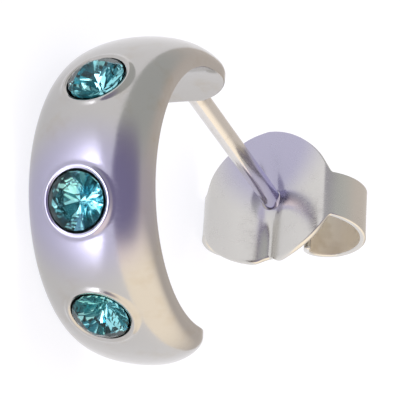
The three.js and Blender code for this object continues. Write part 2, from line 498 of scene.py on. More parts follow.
@dataclass(frozen=True)
class PolishedSilver(Finish):
    """Silver that was polished by hand: bright, a little wavy, with fine wear.

    Attributes:
        colour: Silver's own colour.
        tarnish: The warmer tone of its thin film.
        roughness: The least and most roughness.
        wave: Height of the slow waves that the polishing leaves, in millimetres.
        wave_length: Their length in millimetres.
        scratch: Height of the fine scratches, in millimetres.
        grain: Width of a scratch in millimetres.
        film: Most share of the thin film's tone.
        film_mark: Width of a mark in the film, in millimetres.
        bloom: Middle of a painted violet reflection, in metres, where there is one.
        bloom_reach: How far from its middle it ends, and how far it is whole, in millimetres.
        violet: Its tone.
    """

    colour: str = "#bfbdba"
    tarnish: str = "#aea493"
    roughness: tuple[float, float] = (0.12, 0.2)
    wave: float = 0.013
    wave_length: float = 1.6
    scratch: float = 0.00035
    grain: float = 0.06
    film: float = 0.4
    film_mark: float = 0.9
    bloom: Vector | None = None
    bloom_reach: tuple[float, float] = (3.4, 1.6)
    violet: str = "#aeabc1"

    def looks(self, tree: NodeTree) -> dict[str, object]:
        """Lay out the waves, the scratches and the films.

        Args:
            tree: The material's tree.

        Returns:
            The shader's settings.
        """
        place = add_node(tree, "ShaderNodeTexCoord").outputs["Object"]
        # Slow waves left by the polishing mop.
        waves = add_node(
            tree,
            "ShaderNodeTexNoise",
            {"Vector": place, "Scale": per_size(self.wave_length), "Detail": 1.5, "Roughness": 0.4},
        )
        # Fine scratches, drawn out to eight times their width.
        drawn = add_node(
            tree,
            "ShaderNodeMapping",
            {"Vector": place, "Scale": (1.0, 1.0, 0.12), "Rotation": (0.35, 0.2, 0.0)},
        )
        scratches = add_node(
            tree, "ShaderNodeTexNoise", {"Vector": drawn, "Scale": per_size(self.grain), "Detail": 3.0}
        )
        # Thin film and handling marks, which vary over a millimetre or so.
        film = add_node(
            tree,
            "ShaderNodeTexNoise",
            {"Vector": place, "Scale": per_size(self.film_mark), "Detail": 4.0, "Roughness": 0.6},
        )
        colour = blended(tree, film, (0.52, 0.78, self.film), (linear(self.colour), linear(self.tarnish)))
        if self.bloom is not None:
            # Painted reflection: a violet tint that fades in round a spot, for the violet surroundings that
            # the silver mirrors there.
            away = add_node(tree, "ShaderNodeVectorMath", {0: place, 1: self.bloom}, operation="DISTANCE")
            end, whole = (reach * MM for reach in self.bloom_reach)
            colour = blended(tree, away, (end, whole, 0.9), (colour, linear(self.violet)), "SMOOTHSTEP")
        low, high = self.roughness
        wear = add_node(tree, "ShaderNodeMath", {0: film, 1: scratches}, operation="MULTIPLY")
        rough = add_node(
            tree,
            "ShaderNodeMapRange",
            {"Value": wear, "From Min": 0.14, "From Max": 0.42, "To Min": low, "To Max": high},
        )
        slow = add_node(tree, "ShaderNodeBump", {"Height": waves, "Distance": self.wave * MM})
        fine = add_node(
            tree, "ShaderNodeBump", {"Height": scratches, "Distance": self.scratch * MM, "Normal": slow}
        )
        return {"Base Color": colour, "Metallic": 1.0, "Roughness": rough, "Normal": fine}


@dataclass(frozen=True)
class DarkenedSilver(Finish):
    """Painted shade: a dark silver for the seats round the stones, where shade falls between stone and rim.

    Attributes:
        colour: The painted shade's dark tone.
        bright: A lighter tone, in random patches.
        patch: Width of a lighter patch, in millimetres.
    """

    name: str = "painted_seat_shade_silver"
    colour: str = "#232b2c"
    bright: str = "#6f7674"
    patch: float = 0.2

    def looks(self, tree: NodeTree) -> dict[str, object]:
        """Lay out the lighter patches in the painted shade.

        Args:
            tree: The material's tree.

        Returns:
            The shader's settings.
        """
        place = add_node(tree, "ShaderNodeTexCoord").outputs["Object"]
        patches = add_node(
            tree, "ShaderNodeTexNoise", {"Vector": place, "Scale": per_size(self.patch), "Detail": 3.0}
        )
        colour = blended(tree, patches, (0.45, 0.75, 0.6), (linear(self.colour), linear(self.bright)))
        return {"Base Color": colour, "Metallic": 0.6, "Roughness": 0.5}


@dataclass(frozen=True)
class PickledSilver(Finish):
    """Painted light inside the rolls: rough, pale beige silver, lighter than the face, for the light and
    beige reflections that reach in there.

    Attributes:
        colour: The pale beige tone of the painted light.
        stain: A warmer tone, in random clouds.
        cloud: Width of a cloud of the warmer tone, in millimetres.
        frost: Width and height of the frost's grains, in millimetres.
    """

    name: str = "painted_light_roll_silver"
    colour: str = "#f1ebdf"
    stain: str = "#d8cdb9"
    cloud: float = 0.8
    frost: tuple[float, float] = (0.05, 0.002)

    def looks(self, tree: NodeTree) -> dict[str, object]:
        """Lay out the frost and the clouds of the warmer tone.

        Args:
            tree: The material's tree.

        Returns:
            The shader's settings.
        """
        place = add_node(tree, "ShaderNodeTexCoord").outputs["Object"]
        clouds = add_node(
            tree, "ShaderNodeTexNoise", {"Vector": place, "Scale": per_size(self.cloud), "Detail": 3.0}
        )
        colour = blended(tree, clouds, (0.45, 0.7, 0.7), (linear(self.colour), linear(self.stain)))
        # The frost itself is finer than can be seen, so it is drawn ten times as coarse.
        width, height = self.frost
        grains = add_node(
            tree, "ShaderNodeTexNoise", {"Vector": place, "Scale": per_size(width), "Detail": 2.0}
        )
        frosted = add_node(tree, "ShaderNodeBump", {"Height": grains, "Distance": height * MM})
        return {"Base Color": colour, "Metallic": 0.75, "Roughness": 0.55, "Normal": frosted}


@dataclass(frozen=True)
class CrystalFront(Finish):
    """The clear cut front of a crystal, tinted blue-green.

    Attributes:
        tint: The glass's colour.
        sheen: Colour that its thin coating gives to what it mirrors.
        ior: Its index of refraction.
        haze: Width of a patch of the polishing haze, in millimetres.
    """

    name: str = "crystal_glass"
    tint: str = "#a6e8ef"
    sheen: str = "#6cc0ca"
    ior: float = 1.55
    haze: float = 0.25

    def looks(self, tree: NodeTree) -> dict[str, object]:
        """Lay out the faint polishing haze over the facets.

        Args:
            tree: The material's tree.

        Returns:
            The shader's settings.
        """
        place = add_node(tree, "ShaderNodeTexCoord").outputs["Object"]
        haze = add_node(
            tree, "ShaderNodeTexNoise", {"Vector": place, "Scale": per_size(self.haze), "Detail": 2.0}
        )
        rough = add_node(
            tree, "ShaderNodeMapRange", {"Value": haze, "From Min": 0.35, "From Max": 0.7, "To Max": 0.035}
        )
        return {
            "Base Color": linear(self.tint),
            "Specular Tint": linear(self.sheen),
            "Roughness": rough,
            "IOR": self.ior,
            "Transmission Weight": 1.0,
        }


@dataclass(frozen=True)
class CrystalFoil(Finish):
    """The mirror foil on a crystal's pointed back, seen through the glass, with painted reflections and
    glints on its facets.

    Attributes:
        colour: The foil's bright tone, up to which the painted glints run.
        worn: The dark teal tone of facets with a painted reflection of dark surroundings.
        coat: The mesh attribute that gives each facet its painted reflection tone.
        patch: Width of a patch where the painted tone varies, about that of a facet, in millimetres.
    """

    name: str = "crystal_foil"
    colour: str = "#f4ffff"
    worn: str = "#2f6c77"
    coat: str = "facet_coat"
    patch: float = 0.4

    def looks(self, tree: NodeTree) -> dict[str, object]:
        """Lay out the painted reflections: each facet takes a random tone, varied in patches, from dark teal
        to near white.

        Args:
            tree: The material's tree.

        Returns:
            The shader's settings.
        """
        place = add_node(tree, "ShaderNodeTexCoord").outputs["Object"]
        # Painted reflections and glints: each facet's random value, with noise patches, picks its tone
        # between dark teal and near white.
        facet = add_node(tree, "ShaderNodeAttribute", attribute_name=self.coat).outputs["Fac"]
        patches = add_node(
            tree, "ShaderNodeTexNoise", {"Vector": place, "Scale": per_size(self.patch), "Detail": 0.0}
        )
        coat = add_node(tree, "ShaderNodeMath", {0: patches, 1: 0.5, 2: facet}, operation="MULTIPLY_ADD")
        tones = (linear(self.worn), linear(self.colour))
        colour = blended(tree, coat, (0.55, 0.95, 1.0), tones, "SMOOTHSTEP")
        return {"Base Color": colour, "Metallic": 1.0, "Roughness": 0.06}


@dataclass(frozen=True)
class PaleFloor(Finish):
    """A plain pale tabletop of milky acrylic, lit a little from below.

    Attributes:
        colour: The tabletop's colour.
        light: Colour of the light that comes up through it.
        glow: How much of it there is.
    """

    name: str = "pale_tabletop"
    colour: str = "#7a7b7d"
    light: str = "#fafaff"
    glow: float = 0.86

    def looks(self, tree: NodeTree) -> dict[str, object]:
        """Give the shader's settings, which are the same all over."""
        return {
            "Base Color": linear(self.colour),
            "Roughness": 0.65,
            "Specular IOR Level": 0.25,
            "Emission Color": linear(self.light),
            "Emission Strength": self.glow,
        }


# ---------------------------------------------------------------- crystals


@dataclass
class Crystal:
    """A round stone with a pointed, foiled back, cut in eight equal parts.

    Attributes:
        radius: The girdle's radius in millimetres.
        table_radius: Middle of the table to its corners.
        star_radius: Middle to where the crown's inner and outer facets meet.
        crown: Height of the table over the girdle.
        girdle: The girdle's thickness.
        pavilion: Depth of the point below the girdle.
        pavilion_split: Middle to where the back's long and short facets meet.
        seat_radius: The hoop's centre to the top of the girdle.
        parts: How often the cut repeats round the stone.
        front: The finish of the crown and the girdle.
        foil: The finish of the pointed back.
    """

    radius: float = 1.05
    table_radius: float = 0.58
    star_radius: float = 0.79
    crown: float = 0.3
    girdle: float = 0.08
    pavilion: float = 0.74
    pavilion_split: float = 0.3
    seat_radius: float = 6.1
    parts: int = 8
    front: CrystalFront = CrystalFront()
    foil: CrystalFoil = CrystalFoil()

    def wedge(self) -> Object:
        """Make one eighth of the stone, between two corners of the table.

        Returns:
            The wedge, with the stone's axis along z and the top of its girdle at 0.
        """
        step = 2 * math.pi / self.parts

        def at(turn: float, radius: float, height: float) -> tuple[float, float, float]:
            """A point at a share of the wedge's angle."""
            return radius * math.cos(turn * step), radius * math.sin(turn * step), height

        flat = math.cos(step / 2)
        slope = self.crown / (self.radius - self.table_radius)
        star = self.crown - (self.star_radius * flat - self.table_radius) * slope
        fall = self.pavilion / self.radius
        under = -self.girdle
        split = under - (self.radius - self.pavilion_split * flat) * fall
        corners = [
            (0, 0, self.crown),
            at(0, self.table_radius, self.crown),
            at(1, self.table_radius, self.crown),
            at(0.5, self.star_radius, star),
            *(at(turn, self.radius, 0) for turn in (0, 0.5, 1)),
            *(at(turn, self.radius, under) for turn in (0, 0.5, 1)),
            at(0.5, self.pavilion_split, split),
            (0, 0, under - self.pavilion),
        ]
        table, star_facet = [(0, 1, 2)], [(1, 3, 2)]
        crown = [(1, 4, 3), (2, 3, 6), (3, 4, 5), (3, 5, 6)]
        girdle = [(4, 7, 8, 5), (5, 8, 9, 6)]
        back = [(7, 10, 8), (8, 10, 9), (7, 11, 10), (9, 10, 11)]
        mesh = bpy.data.meshes.new("crystal_wedge")
        scaled = [[value * MM for value in corner] for corner in corners]
        mesh.from_pydata(scaled, [], table + star_facet + crown + girdle + back)
        return in_scene("crystal_wedge", mesh)

    def cutting_tree(self, front: Material, foil: Material) -> NodeTree:
        """Build the tree that repeats the wedge round the stone and sets the stone in its seat.

        Args:
            front: The material of the crown and the girdle.
            foil: The material of the pointed back.

        Returns:
            The tree, with named inputs for the wedge, the count, the turn, the place, the tilt and the seed.
        """
        kinds = {"Wedge": "Object", "Parts": "Int", "Turn": "Float", "Place": "Vector", "Tilt": "Rotation"}
        tree, given = start_tree("cut_crystal", {**kinds, "Seed": "Int"})
        wedge = add_node(tree, "GeometryNodeObjectInfo", {"Object": given["Wedge"]}).outputs["Geometry"]
        spots = add_node(tree, "GeometryNodePoints", {"Count": given["Parts"]})
        number = add_node(tree, "GeometryNodeInputIndex")
        step = add_node(tree, "ShaderNodeMath", {0: 2 * math.pi, 1: given["Parts"]}, operation="DIVIDE")
        angle = add_node(
            tree, "ShaderNodeMath", {0: number, 1: step, 2: given["Turn"]}, operation="MULTIPLY_ADD"
        )
        heading = add_node(tree, "ShaderNodeCombineXYZ", {"Z": angle})
        turned = add_node(tree, "FunctionNodeEulerToRotation", {"Euler": heading})
        ring = add_node(
            tree, "GeometryNodeInstanceOnPoints", {"Points": spots, "Instance": wedge, "Rotation": turned}
        )
        solid = add_node(tree, "GeometryNodeRealizeInstances", {"Geometry": ring})
        welded = add_node(tree, "GeometryNodeMergeByDistance", {"Geometry": solid, "Distance": 2e-6})
        glazed = add_node(tree, "GeometryNodeSetMaterial", {"Geometry": welded, "Material": front})
        spot = add_node(tree, "GeometryNodeInputPosition")
        height = add_node(tree, "ShaderNodeSeparateXYZ", {"Vector": spot}).outputs["Z"]
        just_under = -1.2 * self.girdle * MM
        behind = add_node(
            tree, "FunctionNodeCompare", {0: height, 1: just_under}, operation="LESS_THAN", data_type="FLOAT"
        )
        foiled = add_node(
            tree, "GeometryNodeSetMaterial", {"Geometry": glazed, "Selection": behind, "Material": foil}
        )
        # A random value on each face, which the foil's material turns into painted reflections and glints.
        tones = add_node(tree, "FunctionNodeRandomValue", {"Seed": given["Seed"]}, data_type="FLOAT")
        toned = add_node(
            tree,
            "GeometryNodeStoreNamedAttribute",
            {"Geometry": foiled, "Name": self.foil.coat, "Value": tones},
            data_type="FLOAT",
            domain="FACE",
        )
        seated = add_node(
            tree,
            "GeometryNodeTransform",
            {"Geometry": toned, "Translation": given["Place"], "Rotation": given["Tilt"]},
        )
        add_node(tree, "NodeGroupOutput", {"Geometry": seated})
        return tree

    def build(self, frame: HoopFrame, settings: tuple[Setting, ...]) -> None:
        """Cut the stones and set each in its seat.

        Args:
            frame: Where the hoop lies.
            settings: How each stone is set.
        """
        wedge = self.wedge()
        tree = self.cutting_tree(self.front.material(), self.foil.material())
        for setting in settings:
            outward = frame.rotation @ round_hoop(setting.angle, 1.0)
            values = {
                "Wedge": wedge,
                "Parts": self.parts,
                "Turn": math.radians(setting.turn),
                "Seed": setting.seed,
                "Place": frame.matrix @ round_hoop(setting.angle, self.seat_radius, STONE_OFFSET),
                "Tilt": Vector((0, 0, 1)).rotation_difference(outward).to_euler(),
            }
            stone = run_tree(setting.node + "_stone", tree, values)
            shape = bmesh.new()
            shape.from_mesh(stone.data)
            bmesh.ops.recalc_face_normals(shape, faces=shape.faces)
            shape.to_mesh(stone.data)
            shape.free()
            hand_over(stone, Body.EARRING, "crystal", setting.node)
        bpy.data.objects.remove(wedge)


# ---------------------------------------------------------------- band


@dataclass
class Band:
    """The domed C-shaped band, with a burnished lip round each stone's seat.

    Attributes:
        bore_radius: The hoop's centre to the flat inside face, in millimetres.
        apex_radius: The hoop's centre to the crest of the dome.
        edge_wall: The section's thickness at its two edges.
        half_width: Half the band's width.
        upper_end: Angle of the upper arm's end face, in degrees.
        lower_end: Angle of the lower arm's end face, below the front.
        corner_radius: Plan radius of the corners at each end.
        full_rise: Share of the half-width below which the dome falls away towards an end.
        fall_power: How fast it falls.
        edge_round: Radius of the worn edges.
        lip_radius: The stone's axis to the crest of the burnished lip.
        lip_height: The lip's height over the dome.
        lip_spread: How far the lip spreads.
        lip_end: The stone's axis to where the dome is plain again.
        seat_radius: The seat's radius.
        seat_floor: The hoop's centre to the point of the seat.
        seat_shoulder: The hoop's centre to the foot of the seat's straight wall.
        seat_wall: The hoop's centre to a ring on that wall.
        angle_step: Most degrees between two rows of the band's points.
        dome_rows: Rows of points over the dome.
        bore_rows: Rows of points over the flat bore, with its edges.
        corner_rows: Rows of points round each end's corners.
        stones: How each stone is set.
    """

    bore_radius: float = 4.85
    apex_radius: float = 6.14
    edge_wall: float = 0.26
    half_width: float = 2.4
    upper_end: float = 128.0
    lower_end: float = 94.0
    corner_radius: float = 1.8
    full_rise: float = 0.5
    fall_power: float = 0.7
    edge_round: float = 0.07
    lip_radius: float = 1.25
    lip_height: float = 0.08
    lip_spread: float = 0.1
    lip_end: float = 2.0
    seat_radius: float = 1.13
    seat_floor: float = 5.16
    seat_shoulder: float = 5.97
    seat_wall: float = 6.0
    angle_step: float = 0.68
    dome_rows: int = 97
    bore_rows: int = 12
    corner_rows: int = 30
    stones: tuple[Setting, ...] = SETTINGS

    @property
    def shoulder(self) -> float:
        """The hoop's centre to the foot of the dome."""
        return self.bore_radius + self.edge_wall

    def section(self, angle: np.ndarray) -> tuple[np.ndarray, np.ndarray]:
        """Half the width and the dome's rise at angles round the hoop.

        Args:
            angle: The angles in degrees.

        Returns:
            The half widths and the rises, in millimetres.
        """
        room = np.minimum(self.upper_end - angle, self.lower_end + angle)
        inside = np.clip(self.corner_radius - np.radians(room) * self.bore_radius, 0, self.corner_radius)
        half = self.half_width - (self.corner_radius - np.sqrt(self.corner_radius**2 - inside**2))
        share = np.clip(half / (self.full_rise * self.half_width), 0, 1)
        return half, (self.apex_radius - self.shoulder) * share**self.fall_power

    def lip(self, distance: np.ndarray) -> np.ndarray:
        """Height of the burnished lip round a stone, which falls off faster towards the seat.

        Args:
            distance: Distances from the stone's axis.

        Returns:
            The heights over the dome.
        """
        crest = self.lip_height * np.exp(-(((distance - self.lip_radius) / self.lip_spread) ** 2))
        inner = np.clip((self.lip_radius - distance) / (self.lip_radius - self.seat_radius), 0, 1)
        return crest * (1 - 0.5 * inner**2)

    def dome(self, flat: np.ndarray) -> np.ndarray:
        """Bend points of the flat sheet into the dome.

        Args:
            flat: The sheet's coordinates: the angle round the hoop in degrees, times FLAT_DEGREE, and the
                turn over the dome in radians, times the half width.

        Returns:
            Points in the hoop's own frame.
        """
        angle = flat[:, 0] / FLAT_DEGREE
        turn = flat[:, 1] / self.half_width
        half, rise = self.section(angle)
        radius = self.shoulder + rise * np.cos(turn)
        round_by = np.radians(angle)
        x, y = -radius * np.sin(round_by), -radius * np.cos(round_by)
        points = np.stack([x, y, half * np.sin(turn)], axis=-1)
        for stone in self.stones:
            outward = np.array(round_hoop(stone.angle, 1.0))
            along = points @ outward
            away = np.linalg.norm(points - along[:, None] * outward - (0, 0, STONE_OFFSET), axis=1)
            near = (away < self.lip_end) & (along > 0)
            points[near] += self.lip(away[near])[:, None] * outward
        return points

    def seat_hole(self, stone: float) -> RoundHole:
        """The hole of one stone's seat in the flat sheet.

        Args:
            stone: The stone's angle round the hoop.

        Returns:
            The hole.
        """
        rise = self.apex_radius - self.shoulder

        def place(radius: float, turn: float) -> tuple[float, float]:
            """Find a spot of the sheet.

            Args:
                radius: Its distance from the stone's axis.
                turn: Its turn about that axis.

            Returns:
                The sheet's coordinates there.
            """
            over = math.asin((STONE_OFFSET + radius * math.sin(turn)) / self.half_width)
            reach = self.shoulder + rise * math.cos(over)
            round_by = math.degrees(math.asin(radius * math.cos(turn) / reach))
            return (stone + round_by) * FLAT_DEGREE, over * self.half_width

        def distance(flat: np.ndarray) -> np.ndarray:
            """How far points of the sheet are from the stone's axis.

            Args:
                flat: The sheet's coordinates.

            Returns:
                The distances.
            """
            over = flat[:, 1] / self.half_width
            reach = self.shoulder + rise * np.cos(over)
            side = reach * np.sin(np.radians(np.clip(flat[:, 0] / FLAT_DEGREE - stone, -90, 90)))
            return np.hypot(side, self.half_width * np.sin(over) - STONE_OFFSET)

        # Rings close together up the lip's inside, even ones over it, and wider ones out to the dome.
        inner = [self.seat_radius + step for step in (0.0, 0.012, 0.026, 0.042, 0.06)]
        outer = [self.seat_radius + 0.08 + 0.026 * step for step in range(9)]
        far = [outer[-1] + step for step in (0.035, 0.08, 0.13)]
        return RoundHole(place, distance, inner + outer + far)

    def inside_row(self, half: float) -> list[tuple[float, float]]:
        """The rest of a section: down one edge, over the flat bore and up the other edge.

        Args:
            half: Half the band's width there.

        Returns:
            Radius and height of each point after the dome's foot, in order.
        """
        worn = self.edge_round
        side = [(self.shoulder - 0.5 * (self.edge_wall - worn), half), (self.bore_radius + worn, half)]
        for turn in WORN_TURNS:
            side.append(
                (self.bore_radius + worn - worn * math.sin(turn), half - worn + worn * math.cos(turn))
            )
        heights = np.linspace(half - worn, worn - half, self.bore_rows)[1:-1]
        flat = [(self.bore_radius, height) for height in heights]
        return side + flat + [(radius, -height) for radius, height in reversed(side)]

    def build(self, frame: HoopFrame, silver: Material, dark: Material) -> None:
        """Make the band and hand it over.

        Args:
            frame: Where the hoop lies.
            silver: Its material.
            dark: The material of the seats, with painted shade.
        """
        corner = math.degrees(self.corner_radius / self.bore_radius)
        worn = math.degrees(self.edge_round / self.shoulder)
        crowded = (corner - worn) * (1 - np.cos(np.linspace(0, math.pi / 2, self.corner_rows)))
        low = -self.lower_end + worn + crowded
        high = (self.upper_end - worn - crowded)[::-1]
        angles = np.concatenate([low, arc_steps(low[-1], high[0], self.angle_step)[1:-1], high])
        turns = np.linspace(-math.pi / 2, math.pi / 2, self.dome_rows)
        holes = [self.seat_hole(stone.angle) for stone in self.stones]
        sheet = Sheet(angles * FLAT_DEGREE, turns * self.half_width, holes)
        shell = Shell(self.dome(sheet.points).tolist(), list(sheet.faces))

        halves, _ = self.section(angles)
        inside = [self.inside_row(half) for half in halves]
        rows = [sheet.edge["high"]]
        for column in zip(*inside):
            rows.append(shell.add_row([round_hoop(angle, *spot) for angle, spot in zip(angles, column)]))
        rows.append(sheet.edge["low"])
        shell.bridge(rows, closed=False)

        for side, place, sign in (("start", 0, -1), ("end", -1, 1)):
            loop = sheet.edge[side] + [row[place] for row in rows[1:-1]]
            self.close_end(shell, loop, angles[place], sign)

        # The seats come last and take the second material, painted dark for the shade in them.
        outside = len(shell.faces)
        for stone, rim in zip(self.stones, sheet.rims):
            self.sink_seat(shell, rim, stone.angle)
        band = shell.piece("band", [frame.matrix], [silver, dark], len(shell.faces) - outside)
        hand_over(band, Body.EARRING, "silver_band", "hoop_and_post")

    def close_end(self, shell: Shell, loop: list[int], angle: float, sign: int) -> None:
        """Close one end of the band with a flat face and a worn edge.

        Args:
            shell: The band's shell, which grows.
            loop: Corner numbers round the end's section.
            angle: The angle of that section.
            sign: 1 at the upper end and -1 at the lower one.
        """
        outline = np.array([shell.points[i] for i in loop])
        middle = outline.mean(axis=0)
        turn = math.radians(angle)
        way = sign * np.array([-math.cos(turn), math.sin(turn), 0.0])
        inward = middle - outline
        inward /= np.linalg.norm(inward, axis=1)[:, None]
        # The worn edge's quarter round, then two rings that keep the flat face flat.
        steps = [(1 - math.cos(turned), math.sin(turned)) for turned in WORN_TURNS]
        steps += [(1.6, 1.0), (3.0, 1.0)]
        loops = [outline + self.edge_round * (shrink * inward + reach * way) for shrink, reach in steps]
        shell.close(loop, loops, middle + self.edge_round * way)

    def sink_seat(self, shell: Shell, rim: list[int], stone: float) -> None:
        """Sink a stone's seat from its rim: a straight wall over a cone.

        Args:
            shell: The band's shell, which grows.
            rim: Corner numbers round the seat's mouth.
            stone: The stone's angle round the hoop.
        """
        outward = np.array(round_hoop(stone, 1.0))
        foot = np.array([0.0, 0.0, STONE_OFFSET])
        mouth = np.array([shell.points[i] for i in rim])
        spread = mouth - (mouth @ outward)[:, None] * outward - foot
        halfway = 0.5 * (self.seat_shoulder + self.seat_floor)
        steps = ((0.995, self.seat_wall), (0.99, self.seat_shoulder), (0.5, halfway))
        loops = [share * spread + height * outward + foot for share, height in steps]
        shell.close(rim, loops, self.seat_floor * outward + foot)


# ---------------------------------------------------------------- post


@dataclass
class Post:
    """The straight ear post, drawn as a tube along its line.

    Attributes:
        radius: Its radius in millimetres.
        length: Its length beyond the upper arm's end face.
        root_angle: The end face's angle round the hoop.
        root_radius: The hoop's centre to the post's axis at the end face.
        offset: The post's place along the hoop's axis.
        slope: Its lean towards the lower arm as it runs back, in degrees.
        sunk: Length inside the arm.
        tip_round: Length of the rounded tip.
        rings: Rings of points along it.
        corners: Points round each ring.
    """

    radius: float = 0.41
    length: float = 11.2
    root_angle: float = 128.0
    root_radius: float = 5.6
    offset: float = 0.26
    slope: float = 27.5
    sunk: float = 0.5
    tip_round: float = 0.3
    rings: int = 260
    corners: int = 64

    @property
    def root(self) -> Vector:
        """Where the post's axis crosses the end face."""
        return round_hoop(self.root_angle, self.root_radius, self.offset)

    @property
    def way(self) -> Vector:
        """The post's direction, away from the arm."""
        turn = math.radians(self.slope)
        return Vector((math.sin(turn), math.cos(turn), 0))

    def drawing_tree(self, silver: Material) -> NodeTree:
        """Build the tree that draws a round-tipped wire along a line.

        Args:
            silver: The wire's material.

        Returns:
            The tree, with named inputs for the wire's two ends, its radius and its tip.
        """
        kinds = {"Start": "Vector", "Tip": "Vector", "Radius": "Float", "Tip round": "Float"}
        tree, given = start_tree("drawn_wire", kinds)
        ends = {"Start": given["Start"], "End": given["Tip"]}
        line = add_node(tree, "GeometryNodeCurvePrimitiveLine", ends)
        steps = add_node(tree, "GeometryNodeResampleCurve", {"Curve": line, "Count": self.rings})
        passed = add_node(tree, "GeometryNodeSplineParameter").outputs["Length"]
        length = add_node(tree, "GeometryNodeSplineLength")
        left = add_node(tree, "ShaderNodeMath", {0: length, 1: passed}, operation="SUBTRACT")
        depth = add_node(
            tree,
            "ShaderNodeMapRange",
            {"Value": left, "From Max": given["Tip round"], "To Min": 1.0, "To Max": 0.0},
        )
        square = add_node(tree, "ShaderNodeMath", {0: depth, 1: 2.0}, operation="POWER")
        rest = add_node(tree, "ShaderNodeMath", {0: 1.0, 1: square}, operation="SUBTRACT")
        full = add_node(tree, "ShaderNodeMath", {0: rest}, operation="SQRT")
        thick = add_node(tree, "ShaderNodeMath", {0: full, 1: given["Radius"]}, operation="MULTIPLY")
        ring = add_node(tree, "GeometryNodeCurvePrimitiveCircle", {"Resolution": self.corners, "Radius": 1.0})
        wire = add_node(
            tree,
            "GeometryNodeCurveToMesh",
            {"Curve": steps, "Profile Curve": ring, "Scale": thick, "Fill Caps": True},
        )
        welded = add_node(tree, "GeometryNodeMergeByDistance", {"Geometry": wire, "Distance": 1e-6})
        solid = add_node(tree, "GeometryNodeRealizeInstances", {"Geometry": welded})
        made = add_node(tree, "GeometryNodeSetMaterial", {"Geometry": solid, "Material": silver})
        add_node(tree, "NodeGroupOutput", {"Geometry": made})
        return tree

    def build(self, frame: HoopFrame, silver: Material) -> None:
        """Draw the post and hand it over.

        Args:
            frame: Where the hoop lies.
            silver: Its material.
        """
        values = {
            "Start": frame.matrix @ (self.root - self.sunk * self.way),
            "Tip": frame.matrix @ (self.root + self.length * self.way),
            "Radius": self.radius * MM,
            "Tip round": self.tip_round * MM,
        }
        post = run_tree("ear_post", self.drawing_tree(silver), values)
        post.data.shade_smooth()
        hand_over(post, Body.EARRING, "silver_band")


# ---------------------------------------------------------------- clutch


